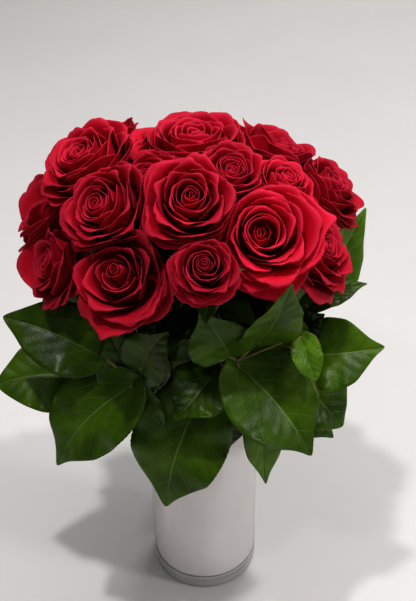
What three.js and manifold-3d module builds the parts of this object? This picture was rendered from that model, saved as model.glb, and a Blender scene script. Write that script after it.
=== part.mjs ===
// Two dozen red roses and ten sprigs of glossy leaves in a straight glass vase.
// Millimetres, +Z up. The origin is the centre of the face that the vase stands on.
// Azimuths are in degrees, seen from above: 0 is the front (-Y), 90 is the right (+X).
import * as THREE from 'three';
import Module from 'manifold-3d';

const manifoldLibrary = await Module();
manifoldLibrary.setup();

// ---------------------------------------------------------------- driving dimensions

const SEAT_GAP = 0.3; // between two pieces that rest on each other

const VASE_HEIGHT = 230;
const VASE_RADIUS = 50;
const VASE_WALL = 2.6;
const VASE_FOOT = 15; // solid glass under the lining
const VASE_EDGE = 1.2; // the small bevel round the foot
const RIM_EDGE = 0.6; // and round the rim
const VASE_SIDES = 40;
const LINING_WALL = 2.1;
const LINING_FLOOR = 2;

const STEM_RADIUS = 3;
const STEM_SIDES = 10; // two for each of the five sepals
const STEM_NECK_STEPS = 4;
const NECK_RISE = 0.42; // how long a stem keeps rising above the rim, per length of its neck
const NECK_DROP = 0.24; // how long the neck runs in line with the hip, per length of the neck
const WAIST_HEIGHT = 190; // where the straight stems cross closest to each other
const STRAIGHT_UNTIL = 236; // just above the rim the stems begin to bend outward
const STEM_TWIST = 25; // degrees between a stem's place at the waist and its bloom

const HIP_LENGTH = 9;
const HIP_RADIUS = 5.2;
const CALYX_WAIST = 3.4;
const CALYX_CAP = 1.7; // the calyx tapers to this under the petals
const SEPAL_REACH = 11;
const SEPAL_RISE = 2.6;
const SEPAL_THICKNESS = 1;

const DOME_CENTRE = new THREE.Vector3(0, 0, 350); // the blooms face away from this point
const BLOOM_DEPTH = 0.52; // from the hip to the face, as a share of the bloom's width
const BLOOM_SIDES = 10;
const BLOOM_LOBES = 5;
const BLOOM_FILL = 0.88; // the solid's width as a share of the loose outer petals' width

const TWIG_RADIUS = 1.7;
const TWIG_SIDES = 6;
const TWIG_RING = 31.5; // at the waist, between the stems of the outer ring
const TWIG_LEAN_RADIUS = 41.2; // where a twig leans on the rim
const TWIG_STRAIGHT_UNTIL = 150;
const TWIG_TURN = 12; // degrees that a twig turns between the waist and the rim
const LEAF_THICKNESS = 0.9;
const PETIOLE_HALF_WIDTH = 1.1;
const PETIOLE_THICKNESS = 2;

const LINING_INSIDE = VASE_RADIUS - VASE_WALL - SEAT_GAP - LINING_WALL;
const STEM_START = VASE_FOOT + LINING_FLOOR + SEAT_GAP;

// Each ring is the distance of its stems from the axis, at the waist.
const INNER = 13.5;
const MIDDLE = 22;
const OUTER = 30;

// Blooms: where the face lies, seen from the dome's centre (azimuth, elevation, reach),
// where it looks (azimuth, elevation), the bloom's width, and the ring of its stem.
const ROSES = [
  { azimuth: -175, elevation: 78, reach: 103, look: [0, 88], width: 80, ring: INNER },
  { azimuth: -88, elevation: 49, reach: 132, look: [-66, 62], width: 68, ring: MIDDLE },
  { azimuth: -51, elevation: 43, reach: 124, look: [-42, 46], width: 68, ring: MIDDLE },
  { azimuth: -3, elevation: 52, reach: 125, look: [2, 50], width: 70, ring: MIDDLE },
  { azimuth: -58, elevation: 65, reach: 97, look: [-30, 62], width: 46, ring: INNER },
  { azimuth: -122, elevation: 53, reach: 107, look: [-90, 70], width: 54, ring: INNER },
  { azimuth: 37, elevation: 66, reach: 110, look: [25, 62], width: 50, ring: INNER },
  { azimuth: 74, elevation: 48, reach: 108, look: [62, 62], width: 66, ring: MIDDLE },
  { azimuth: 33, elevation: 36, reach: 119, look: [8, 40], width: 76, ring: OUTER },
  { azimuth: -33, elevation: 21, reach: 117, look: [-24, 43], width: 64, ring: OUTER },
  { azimuth: 3, elevation: 29, reach: 126, look: [2, 42], width: 50, ring: OUTER },
  { azimuth: 66, elevation: 20, reach: 115, look: [70, 36], width: 65, ring: OUTER },
  { azimuth: 95, elevation: 30, reach: 127, look: [85, 47], width: 60, ring: OUTER },
  { azimuth: 118, elevation: 47, reach: 117, look: [110, 62], width: 64, ring: MIDDLE },
  { azimuth: 151, elevation: 38, reach: 119, look: [150, 66], width: 58, ring: MIDDLE },
  { azimuth: -97, elevation: 18, reach: 136, look: [-100, 42], width: 62, ring: OUTER },
  { azimuth: -73, elevation: 10, reach: 128, look: [-72, 24], width: 66, ring: OUTER },
  { azimuth: -136, elevation: 36, reach: 134, look: [-140, 60], width: 60, ring: MIDDLE },
  { azimuth: -178, elevation: 28, reach: 122, look: [180, 40], width: 60, ring: MIDDLE },
  { azimuth: -149, elevation: 15, reach: 112, look: [-145, 36], width: 62, ring: OUTER },
  { azimuth: 144, elevation: 12, reach: 123, look: [145, 34], width: 64, ring: OUTER },
  { azimuth: 180, elevation: -4, reach: 114, look: [180, 18], width: 62, ring: OUTER },
  { azimuth: -117, elevation: 9, reach: 109, look: [-112, 24], width: 60, ring: OUTER },
  { azimuth: 117, elevation: 10, reach: 112, look: [115, 24], width: 62, ring: OUTER },
];

// Sprigs: the azimuth where the twig leans on the rim, the points that it passes above
// the rim, and its leaves. A leaf grows from one of those points (counted from 0) and has
// a base, a tip, a width and the direction that its upper face looks (azimuth, elevation).
const SPRIGS = [
  {
    lean: -28,
    path: [[-38, -58, 264], [-50, -71, 278], [-71, -66, 297]],
    leaves: [
      { from: 2, base: [-75, -64, 297], tip: [-155, -40, 323], width: 56, look: [-20, 45] },
      { from: 1, base: [-54, -76, 280], tip: [-119, -87, 206], width: 67, look: [-20, 35] },
      { from: 0, base: [-40, -61, 268], tip: [-72, -58, 322], width: 58, look: [-14, 22] },
      { from: 1, base: [-46, -70, 286], tip: [-22, -84, 338], width: 42, look: [-25, 12] },
    ],
  },
  {
    lean: 4,
    path: [[4, -58, 251], [0, -70, 262]],
    leaves: [
      { from: 1, base: [-1, -73, 261], tip: [-31, -101, 170], width: 77, look: [-12, 22] },
      { from: 0, base: [1, -60, 264], tip: [-12, -60, 324], width: 42, look: [-6, 6] },
    ],
  },
  {
    lean: 17,
    path: [[15, -58, 246], [15, -71, 289], [28, -77, 303], [43, -76, 319]],
    leaves: [
      { from: 2, base: [30, -80, 301], tip: [86, -112, 236], width: 75, look: [25, 38] },
      { from: 3, base: [45, -78, 321], tip: [66, -104, 392], width: 45, look: [20, 10] },
      { from: 1, base: [12, -74, 291], tip: [-21, -102, 266], width: 50, look: [-35, 30] },
      { from: 2, base: [24, -79, 308], tip: [1, -86, 358], width: 52, look: [-8, 14] },
      { from: 0, base: [18, -59, 243], tip: [24, -65, 203], width: 40, look: [18, 20] },
      { from: 2, base: [77, -80, 328], tip: [88, -97, 299], width: 27, look: [25, 25] },
    ],
  },
  {
    lean: 67,
    path: [[57, -36, 258], [68, -44, 273], [78, -50, 286]],
    leaves: [
      { from: 2, base: [81, -51, 287], tip: [145, -62, 303], width: 58, look: [15, 45] },
      { from: 1, base: [76, -48, 268], tip: [117, -66, 224], width: 56, look: [40, 30] },
      { from: 0, base: [66, -40, 252], tip: [112, -54, 200], width: 48, look: [35, 20] },
      { from: 0, base: [52, -45, 250], tip: [55, -62, 154], width: 29, look: [10, 12] },
      { from: 2, base: [72, -48, 294], tip: [52, -66, 348], width: 44, look: [12, 10] },
      { from: 2, base: [74, -36, 307], tip: [98, -50, 327], width: 30, look: [20, 30] },
    ],
  },
  {
    lean: 94,
    path: [[62, -4, 270], [74, -14, 298], [84, -22, 316]],
    leaves: [
      { from: 2, base: [87, -26, 317], tip: [137, -10, 328], width: 26, look: [30, 65] },
      { from: 1, base: [80, -4, 306], tip: [138, 30, 376], width: 54, look: [35, 20] },
    ],
  },
  {
    lean: -66,
    path: [[-60, -16, 252], [-80, -14, 258]],
    leaves: [
      { from: 1, base: [-97, -20, 244], tip: [-171, -27, 243], width: 66, look: [-15, 50] },
      { from: 1, base: [-86, -8, 266], tip: [-130, 24, 320], width: 60, look: [-60, 30] },
      { from: 1, base: [-80, -20, 264], tip: [-80, -46, 324], width: 46, look: [-62, 12] },
    ],
  },
  {
    lean: -97,
    path: [[-62, 10, 258], [-78, 24, 286]],
    leaves: [
      { from: 1, base: [-82, 28, 290], tip: [-148, 58, 316], width: 58, look: [-120, 50] },
      { from: 0, base: [-68, 16, 256], tip: [-135, 36, 214], width: 64, look: [-105, 35] },
      { from: 1, base: [-76, 34, 284], tip: [-100, 92, 262], width: 60, look: [-145, 40] },
      { from: 1, base: [-80, 26, 290], tip: [-88, 4, 338], width: 46, look: [-95, 12] },
    ],
  },
  {
    lean: -146,
    path: [[-34, 56, 258], [-44, 72, 288]],
    leaves: [
      { from: 1, base: [-46, 76, 292], tip: [-88, 128, 312], width: 64, look: [-150, 48] },
      { from: 0, base: [-38, 62, 256], tip: [-70, 112, 206], width: 66, look: [-150, 30] },
      { from: 1, base: [-38, 78, 290], tip: [-30, 132, 270], width: 54, look: [-175, 40] },
      { from: 1, base: [-47, 74, 292], tip: [-68, 58, 338], width: 38, look: [-140, 12] },
    ],
  },
  {
    lean: -177,
    path: [[2, 62, 254], [10, 78, 282]],
    leaves: [
      { from: 1, base: [14, 82, 288], tip: [36, 142, 318], width: 64, look: [170, 48] },
      { from: 0, base: [2, 68, 250], tip: [-8, 108, 186], width: 70, look: [180, 28] },
      { from: 1, base: [18, 80, 280], tip: [62, 118, 252], width: 54, look: [150, 35] },
      { from: 1, base: [12, 80, 284], tip: [-6, 86, 318], width: 32, look: [-176, 12] },
    ],
  },
  {
    lean: 149,
    path: [[36, 54, 258], [56, 62, 288]],
    leaves: [
      { from: 1, base: [62, 66, 292], tip: [118, 98, 314], width: 64, look: [130, 48] },
      { from: 0, base: [44, 54, 256], tip: [102, 76, 206], width: 66, look: [125, 32] },
      { from: 1, base: [64, 54, 290], tip: [130, 46, 278], width: 54, look: [95, 45] },
      { from: 1, base: [60, 64, 290], tip: [78, 44, 338], width: 46, look: [125, 12] },
    ],
  },
];

// A blade's half width along its length, as a share of the widest place.
const BLADE_STATIONS = [0, 0.14, 0.32, 0.52, 0.72, 0.89, 1];
const BLADE_TIP = 0.03;
const BLADE_BELLY = 0.72; // under 1 moves the widest place towards the base
const BLADE_ARCH = 0.07; // how far the midrib bows up, as a share of the length
const BLADE_FOLD = 0.16; // how far the edges stand above the midrib, per half width

// A bloom's outline from the hip out to the rim and in to the heart: [radius, height].
const BLOOM_OUTLINE = [
  [0, 0],
  [0.38, 0.14],
  [0.76, 0.42],
  [0.94, 0.72],
  [1, 0.93],
  [0.8, 0.97],
  [0.5, 0.9],
  [0.26, 0.96],
  [0, 0.98],
];
const BLOOM_LOBE_DEPTH = 0.06;

const FINISHES = {
  glass: { color: '#c3c7c6', roughness: 0.05 },
  lining: { color: '#e9e9e6', roughness: 0.3 },
  petal: { color: '#a80f1f', roughness: 0.75 },
  stem: { color: '#44602a', roughness: 0.6 },
  leaf: { color: '#2c5219', roughness: 0.4 },
};

// ---------------------------------------------------------------- directions and places

function polar(radius, azimuth, height) {
  const angle = THREE.MathUtils.degToRad(azimuth);
  return new THREE.Vector3(radius * Math.sin(angle), -radius * Math.cos(angle), height);
}

function direction(azimuth, elevation) {
  const lift = THREE.MathUtils.degToRad(elevation);
  return polar(Math.cos(lift), azimuth, Math.sin(lift));
}

function azimuthOf(point) {
  return THREE.MathUtils.radToDeg(Math.atan2(point.x, -point.y));
}

// Straight stems that all lean the same way round form a waist, as in a hand-tied bouquet.
function leaningPoint(ring, azimuth, height) {
  const lean = (height - WAIST_HEIGHT) / WAIST_HEIGHT;
  const sideways = polar(ring * lean, azimuth + 90, height);
  const place = polar(ring, azimuth, 0);
  return place.add(sideways);
}

// ---------------------------------------------------------------- closed bodies

// Joins rings with equal numbers of points into one closed body with capped ends.
function closedSweep(rings) {
  const sides = rings[0].length;
  const positions = rings.flat().flatMap((point) => [point.x, point.y, point.z]);
  const triangles = [];
  for (let ring = 0; ring < rings.length - 1; ring += 1) {
    for (let side = 0; side < sides; side += 1) {
      const next = (side + 1) % sides;
      const low = ring * sides;
      const high = low + sides;
      triangles.push(low + side, low + next, high + next);
      triangles.push(low + side, high + next, high + side);
    }
  }
  const last = (rings.length - 1) * sides;
  for (let side = 1; side < sides - 1; side += 1) {
    triangles.push(0, side + 1, side);
    triangles.push(last, last + side, last + side + 1);
  }
  const geometry = new THREE.BufferGeometry();
  geometry.setAttribute('position', new THREE.Float32BufferAttribute(positions, 3));
  geometry.setIndex(triangles);
  if (signedVolume(geometry) < 0) {
    geometry.setIndex(triangles.reverse());
  }
  return geometry;
}

function signedVolume(geometry) {
  const position = geometry.getAttribute('position');
  const index = geometry.getIndex();
  const corners = [new THREE.Vector3(), new THREE.Vector3(), new THREE.Vector3()];
  let sum = 0;
  for (let start = 0; start < index.count; start += 3) {
    corners.forEach((corner, offset) => {
      corner.fromBufferAttribute(position, index.getX(start + offset));
    });
    sum += corners[0].dot(corners[1].cross(corners[2]));
  }
  return sum / 6;
}

// A ring of points round a centre, square to a direction. radii and lifts hold one radius
// and one height for each point in turn, and start over when they run out.
function roundRing(centre, axis, sides, radii, lifts = [0]) {
  const right = new THREE.Vector3(0, 1, 0).cross(axis).normalize();
  const front = axis.clone().cross(right).normalize();
  return Array.from({ length: sides }, (_, side) => {
    const angle = (side / sides) * 2 * Math.PI;
    const radius = radii[side % radii.length];
    return centre.clone()
      .addScaledVector(right, radius * Math.cos(angle))
      .addScaledVector(front, radius * Math.sin(angle))
      .addScaledVector(axis, lifts[side % lifts.length]);
  });
}

// A ring at the foot of a leaning stem is cut level.
function cutLevel(ring, height) {
  return ring.map((point) => new THREE.Vector3(point.x, point.y, height));
}

function toManifold(geometry) {
  const mesh = new manifoldLibrary.Mesh({
    numProp: 3,
    vertProperties: new Float32Array(geometry.getAttribute('position').array),
    triVerts: new Uint32Array(geometry.getIndex().array),
  });
  return new manifoldLibrary.Manifold(mesh);
}

function joined(geometries) {
  const solid = geometries.map(toManifold).reduce((sum, next) => sum.add(next));
  const mesh = solid.getMesh();
  const geometry = new THREE.BufferGeometry();
  geometry.setAttribute('position', new THREE.BufferAttribute(mesh.vertProperties, 3));
  geometry.setIndex(new THREE.BufferAttribute(mesh.triVerts, 1));
  return geometry;
}

function piece(name, geometry, finish) {
  const material = new THREE.MeshStandardMaterial({ ...finish, metalness: 0 });
  const mesh = new THREE.Mesh(geometry, material);
  mesh.name = name;
  return mesh;
}

// ---------------------------------------------------------------- vase

function turned(profile) {
  const outline = profile.map(([radius, height]) => new THREE.Vector2(radius, height));
  const geometry = new THREE.LatheGeometry(outline, VASE_SIDES);
  geometry.rotateX(Math.PI / 2);
  return geometry;
}

function glassGeometry() {
  const inside = VASE_RADIUS - VASE_WALL;
  return turned([
    [0, 0],
    [VASE_RADIUS - VASE_EDGE, 0],
    [VASE_RADIUS, VASE_EDGE],
    [VASE_RADIUS, VASE_HEIGHT - RIM_EDGE],
    [VASE_RADIUS - RIM_EDGE, VASE_HEIGHT],
    [inside, VASE_HEIGHT],
    [inside, VASE_FOOT],
    [0, VASE_FOOT],
  ]);
}

function liningGeometry() {
  const outside = VASE_RADIUS - VASE_WALL - SEAT_GAP;
  return turned([
    [0, VASE_FOOT],
    [outside, VASE_FOOT],
    [outside, VASE_HEIGHT],
    [LINING_INSIDE, VASE_HEIGHT],
    [LINING_INSIDE, VASE_FOOT + LINING_FLOOR],
    [0, VASE_FOOT + LINING_FLOOR],
  ]);
}

// ---------------------------------------------------------------- roses

// Where the bloom meets the hip, and the direction that it looks.
function bloomSeat(rose) {
  const look = direction(...rose.look);
  const face = direction(rose.azimuth, rose.elevation)
    .multiplyScalar(rose.reach)
    .add(DOME_CENTRE);
  const base = face.clone().addScaledVector(look, -BLOOM_DEPTH * rose.width);
  return { base, look };
}

function bloomGeometry(rose) {
  const radius = (BLOOM_FILL * rose.width) / 2;
  const depth = BLOOM_DEPTH * rose.width;
  const outline = BLOOM_OUTLINE.map(([out, up]) => new THREE.Vector2(out * radius, up * depth));
  const geometry = new THREE.LatheGeometry(outline, BLOOM_SIDES);
  geometry.rotateX(Math.PI / 2);
  const position = geometry.getAttribute('position');
  for (let corner = 0; corner < position.count; corner += 1) {
    const x = position.getX(corner);
    const y = position.getY(corner);
    const wave = (1 + Math.cos(BLOOM_LOBES * Math.atan2(y, x))) / 2;
    const reach = Math.hypot(x, y) / radius;
    const scale = 1 - BLOOM_LOBE_DEPTH * wave * reach;
    position.setXY(corner, x * scale, y * scale);
  }
  return geometry;
}

function bloom(name, rose) {
  const { base, look } = bloomSeat(rose);
  const mesh = piece(name, bloomGeometry(rose), FINISHES.petal);
  mesh.position.copy(base);
  mesh.quaternion.setFromUnitVectors(new THREE.Vector3(0, 0, 1), look);
  return mesh;
}

// The stem, the hip and the five sepals that cup the bloom are one piece.
function stemGeometry(rose) {
  const { base, look } = bloomSeat(rose);
  const azimuth = azimuthOf(base) - STEM_TWIST;
  const foot = leaningPoint(rose.ring, azimuth, STEM_START);
  const shoulder = leaningPoint(rose.ring, azimuth, STRAIGHT_UNTIL);
  const rise = shoulder.clone().sub(foot).normalize();
  const hipStart = base.clone().addScaledVector(look, -HIP_LENGTH);
  const reach = hipStart.distanceTo(shoulder);
  const neck = new THREE.CubicBezierCurve3(
    shoulder,
    shoulder.clone().addScaledVector(rise, reach * NECK_RISE),
    hipStart.clone().addScaledVector(look, -reach * NECK_DROP),
    hipStart,
  );
  const rings = [cutLevel(roundRing(foot, rise, STEM_SIDES, [STEM_RADIUS]), STEM_START)];
  for (let step = 0; step <= STEM_NECK_STEPS; step += 1) {
    const share = step / STEM_NECK_STEPS;
    rings.push(roundRing(neck.getPoint(share), neck.getTangent(share), STEM_SIDES, [STEM_RADIUS]));
  }
  const hipRings = [
    [[HIP_RADIUS], [-HIP_LENGTH / 2]],
    [[HIP_RADIUS, CALYX_WAIST], [-SEPAL_THICKNESS - SEAT_GAP]],
    [[SEPAL_REACH, CALYX_WAIST], [SEPAL_RISE, -SEPAL_THICKNESS / 2 - SEAT_GAP]],
    [[CALYX_WAIST, CALYX_CAP], [-SEAT_GAP]],
  ];
  for (const [radii, lifts] of hipRings) {
    rings.push(roundRing(base, look, STEM_SIDES, radii, lifts));
  }
  return closedSweep(rings);
}

// ---------------------------------------------------------------- leaf sprigs

function twigGeometry(sprig) {
  const azimuth = sprig.lean - TWIG_TURN;
  const foot = leaningPoint(TWIG_RING, azimuth, STEM_START);
  const bend = leaningPoint(TWIG_RING, azimuth, TWIG_STRAIGHT_UNTIL);
  const rim = polar(TWIG_LEAN_RADIUS, sprig.lean, VASE_HEIGHT);
  const points = [bend, rim, ...sprig.path.map((point) => new THREE.Vector3(...point))];
  const curve = new THREE.CatmullRomCurve3(points, false, 'centripetal');
  const rise = bend.clone().sub(foot).normalize();
  const rings = [cutLevel(roundRing(foot, rise, TWIG_SIDES, [TWIG_RADIUS]), STEM_START)];
  const steps = 2 * (points.length - 1);
  for (let step = 0; step <= steps; step += 1) {
    const share = step / steps;
    rings.push(roundRing(curve.getPoint(share), curve.getTangent(share), TWIG_SIDES, [TWIG_RADIUS]));
  }
  return closedSweep(rings);
}

// One cross-section of a leaf: a shallow V of even thickness with square edges.
function leafSection(centre, side, normal, halfWidth, thickness) {
  const ring = [];
  for (const half of [thickness / 2, -thickness / 2]) {
    const middle = centre.clone().addScaledVector(normal, half);
    const edges = [-1, 1].map((sign) => middle.clone()
      .addScaledVector(side, sign * halfWidth)
      .addScaledVector(normal, BLADE_FOLD * halfWidth));
    ring.push(half > 0 ? [edges[0], middle, edges[1]] : [edges[1], middle, edges[0]]);
  }
  const [top, bottom] = ring;
  return [top[1], top[2], bottom[0], bottom[1], bottom[2], top[0]];
}

function leafGeometry(leaf, attachment) {
  const base = new THREE.Vector3(...leaf.base);
  const tip = new THREE.Vector3(...leaf.tip);
  const length = base.distanceTo(tip);
  const along = tip.clone().sub(base).normalize();
  const normal = direction(...leaf.look);
  normal.addScaledVector(along, -normal.dot(along)).normalize();
  const side = along.clone().cross(normal);
  const sections = [
    leafSection(attachment, side, normal, PETIOLE_HALF_WIDTH, PETIOLE_THICKNESS),
  ];
  for (const share of BLADE_STATIONS) {
    const outline = Math.sin(Math.PI * share ** BLADE_BELLY);
    const halfWidth = Math.max(outline, BLADE_TIP) * (leaf.width / 2);
    const centre = base.clone()
      .lerp(tip, share)
      .addScaledVector(normal, BLADE_ARCH * length * Math.sin(Math.PI * share));
    sections.push(leafSection(centre, side, normal, halfWidth, LEAF_THICKNESS));
  }
  return closedSweep(sections);
}

function sprigGeometry(sprig) {
  const leaves = sprig.leaves.map((leaf) => {
    const attachment = new THREE.Vector3(...sprig.path[leaf.from]);
    return leafGeometry(leaf, attachment);
  });
  return joined([twigGeometry(sprig), ...leaves]);
}

// ---------------------------------------------------------------- the whole

const bouquet = new THREE.Group();
bouquet.add(piece('vase_glass', glassGeometry(), FINISHES.glass));
bouquet.add(piece('vase_white_lining', liningGeometry(), FINISHES.lining));

ROSES.forEach((rose, index) => {
  const number = String(index + 1).padStart(2, '0');
  bouquet.add(bloom(`rose_${number}_bloom`, rose));
  bouquet.add(piece(`rose_${number}_stem`, stemGeometry(rose), FINISHES.stem));
});

SPRIGS.forEach((sprig, index) => {
  const number = String(index + 1).padStart(2, '0');
  bouquet.add(piece(`leaf_sprig_${number}`, sprigGeometry(sprig), FINISHES.leaf));
});

export default bouquet;
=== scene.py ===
# Two dozen red roses and ten sprigs of glossy leaves in a straight white-lined glass vase.
# Metres, +Z up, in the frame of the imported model. The origin is the centre of the vase's foot.
# Azimuths are in degrees, seen from above: 0 is the front (-Y), 90 is the right (+X).
import math

import bpy
import numpy as np
from mathutils import Matrix, Vector


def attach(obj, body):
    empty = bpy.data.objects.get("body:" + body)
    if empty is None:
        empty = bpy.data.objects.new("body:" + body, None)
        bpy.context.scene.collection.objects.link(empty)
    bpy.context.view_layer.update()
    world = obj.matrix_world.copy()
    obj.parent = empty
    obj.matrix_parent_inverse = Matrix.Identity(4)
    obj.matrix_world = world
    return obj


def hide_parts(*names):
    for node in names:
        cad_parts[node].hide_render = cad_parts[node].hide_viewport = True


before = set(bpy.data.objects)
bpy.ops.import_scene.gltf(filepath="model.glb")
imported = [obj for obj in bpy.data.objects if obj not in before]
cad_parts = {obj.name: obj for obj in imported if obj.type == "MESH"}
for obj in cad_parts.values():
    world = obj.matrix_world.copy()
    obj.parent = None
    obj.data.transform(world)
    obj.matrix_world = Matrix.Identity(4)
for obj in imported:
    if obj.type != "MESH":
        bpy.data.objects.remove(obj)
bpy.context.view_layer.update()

MM = 0.001

# ---- dimensions of the frame

VASE_HEIGHT = 230 * MM
VASE_RADIUS = 50 * MM
VASE_WALL = 2.6 * MM
VASE_FOOT = 15 * MM
LINING_GAP = 0.3 * MM
LINING_WALL = 2.1 * MM
LINING_FLOOR = 2 * MM

# Thick round glass makes the white inside it look wider, so little clear glass is drawn.
GLASS_SEEN = 0.7 * MM
GAP_SEEN = 0.1 * MM
# How far above the foot its painted grey reaches on the outside.
FOOT_DEPTH_SEEN = 0.7 * MM

STEM_RADIUS = 3 * MM
STEM_START = VASE_FOOT + LINING_FLOOR + LINING_GAP
WAIST_HEIGHT = 190 * MM
STRAIGHT_UNTIL = 236 * MM
STEM_TWIST = 25
HIP_LENGTH = 9 * MM

DOME_CENTRE = Vector((0, 0, 350 * MM))
BLOOM_DEPTH = 0.52

TWIG_RADIUS = 1.7 * MM
TWIG_RING = 31.5 * MM
TWIG_LEAN_RADIUS = 41.2 * MM
TWIG_STRAIGHT_UNTIL = 150 * MM
TWIG_TURN = 12

# The rings that the stems stand on in the vase.
INNER = 13.5 * MM
MIDDLE = 22 * MM
OUTER = 30 * MM

# The start of each kind's random draws. The number of the rose or sprig is added to it.
BLOOM_DRAW = 1000
STEM_DRAW = 2000
SPRIG_DRAW = 3000
TOP_LEAF_DRAW = 4000

# ---- rose styles
# A style is a list of whorls, from the heart out. Each whorl says how many petals it has and,
# for its first and its last petal: where the rim stands (share of the bloom's radius) and how
# high (share of its depth), how far round the petal reaches each way and how it leans and
# curls (degrees), how wide its lip is (share of the radius), and how strongly it winds.

HEART = dict(
    count=7, rim=(0.035, 0.20), height=(0.88, 0.92), span=(150, 88), lean=(-12, -8), curl=(14, 34),
    lip=(0.05, 0.06), wind=(0.34, 0.30),
)
INNER_WHORL = dict(
    count=8, rim=(0.25, 0.44), height=(0.92, 0.95), span=(84, 70), lean=(-6, 4), curl=(44, 66),
    lip=(0.07, 0.10), wind=(0.22, 0.16),
)
MIDDLE_WHORL = dict(
    count=8, rim=(0.50, 0.72), height=(0.94, 0.90), span=(64, 54), lean=(8, 26), curl=(66, 84),
    lip=(0.12, 0.18), wind=(0.13, 0.09),
)
OUTER_WHORL = dict(
    count=7, rim=(0.80, 0.92), height=(0.84, 0.66), span=(54, 50), lean=(38, 56), curl=(76, 96),
    lip=(0.20, 0.26), wind=(0.07, 0.05),
)
SKIRT_WHORL = dict(
    count=6, rim=(0.92, 1.0), height=(0.52, 0.34), span=(54, 54), lean=(70, 96), curl=(16, 46),
    lip=(0.26, 0.32), wind=(0.06, 0.05),
)


def whorl(start, **changes):
    return {**start, **changes}


OPEN = [HEART, INNER_WHORL, MIDDLE_WHORL, OUTER_WHORL, SKIRT_WHORL]
FLAT = [
    whorl(HEART, height=(0.96, 0.98)),
    whorl(INNER_WHORL, height=(0.98, 0.98), count=9),
    whorl(MIDDLE_WHORL, height=(0.94, 0.84), lean=(16, 40), count=9),
    whorl(OUTER_WHORL, height=(0.76, 0.56), lean=(52, 70)),
    SKIRT_WHORL,
]
HOLLOW = [
    whorl(HEART, count=6, rim=(0.04, 0.17), height=(0.58, 0.62)),
    whorl(INNER_WHORL, count=6, rim=(0.27, 0.38), height=(0.80, 0.90), span=(100, 84)),
    whorl(MIDDLE_WHORL, count=9, rim=(0.44, 0.70), height=(0.92, 0.90)),
    OUTER_WHORL,
    SKIRT_WHORL,
]
POINTED = [
    whorl(HEART, count=6, rim=(0.03, 0.17), height=(0.86, 0.88)),
    whorl(INNER_WHORL, count=5, rim=(0.28, 0.40), height=(0.78, 0.86), span=(80, 66), curl=(20, 50),
          lean=(4, 10)),
    whorl(MIDDLE_WHORL, count=6, rim=(0.52, 0.70), height=(0.90, 0.86), curl=(50, 80),
          lip=(0.16, 0.2)),
    whorl(OUTER_WHORL, count=5, span=(54, 50), height=(0.80, 0.56)),
    whorl(SKIRT_WHORL, count=5, rim=(0.88, 0.94), span=(56, 50), lip=(0.22, 0.28)),
]
TIGHT = [
    whorl(HEART, count=9, rim=(0.035, 0.22), height=(0.78, 0.84)),
    whorl(INNER_WHORL, count=9, rim=(0.27, 0.50), height=(0.86, 0.94)),
    whorl(MIDDLE_WHORL, count=6, rim=(0.58, 0.74), height=(0.94, 0.92)),
    whorl(OUTER_WHORL, count=6, height=(0.84, 0.70), lean=(30, 44)),
    SKIRT_WHORL,
]


def own_petal(turn, **manner):
    """An extra outer petal of one rose. turn is its direction round the bloom, from its right."""
    return {"turn": math.radians(turn), "own": True, **manner}


TOP_PETALS = [
    own_petal(182, rim=0.84, height=0.54, span=48, lean=58, curl=60, lip=0.22, point=0.8),
    own_petal(212, rim=0.82, height=0.50, span=46, lean=60, curl=50, lip=0.22, point=0.8),
    own_petal(154, rim=0.80, height=0.62, span=50, lean=50, curl=60, lip=0.22, point=0.8),
    own_petal(190, rim=0.76, height=0.64, span=50, lean=50, curl=70, lip=0.22, point=0.6),
    own_petal(104, rim=0.70, height=0.74, span=50, lean=40, curl=70, lip=0.20, point=0.5),
]
HOLLOW_PETALS = [
    own_petal(22, rim=0.60, height=0.97, span=72, lean=2, curl=40, lip=0.16, point=0.1),
    own_petal(8, rim=0.95, height=0.80, span=58, lean=50, curl=30, lip=0.34, point=1.6),
]
PEAKED_PETALS = [
    own_petal(-92, rim=1.0, height=0.60, span=50, lean=70, curl=14, lip=0.40, point=2.0),
    own_petal(-30, rim=0.94, height=0.70, span=52, lean=48, curl=26, lip=0.32, point=1.4),
    own_petal(62, rim=0.96, height=0.98, span=50, lean=20, curl=62, lip=0.34, point=0.9),
]
LEFT_PETALS = [
    own_petal(196, rim=0.88, height=1.20, span=56, lean=8, curl=50, lip=0.30, point=0.6),
    own_petal(158, rim=0.84, height=1.10, span=56, lean=6, curl=60, lip=0.28, point=0.4),
]
LOW_LEFT_PETALS = [
    own_petal(-150, rim=0.88, height=0.92, span=50, lean=34, curl=30, lip=0.42, point=0.0),
    own_petal(-62, rim=0.86, height=0.60, span=44, lean=50, curl=30, lip=0.30, point=0.2),
]


def rose_row(azimuth, elevation, reach, look, width, ring, style, own_petals=(), **manner):
    """One rose: its face as seen from the dome's centre (degrees and mm), where it looks (azimuth
    and elevation), its width (mm), the ring of its stem in the vase and its style. Its manner can
    give full (how far it spreads past its width), tone (how bright it is), shift (of its heart),
    fold, ruffle and point (how strong these are) and leaf_draw (another draw of its top leaves)."""
    return dict(azimuth=azimuth, elevation=elevation, reach=reach, look=look, width=width,
                ring=ring, style=style, own_petals=own_petals, **manner)


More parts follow.
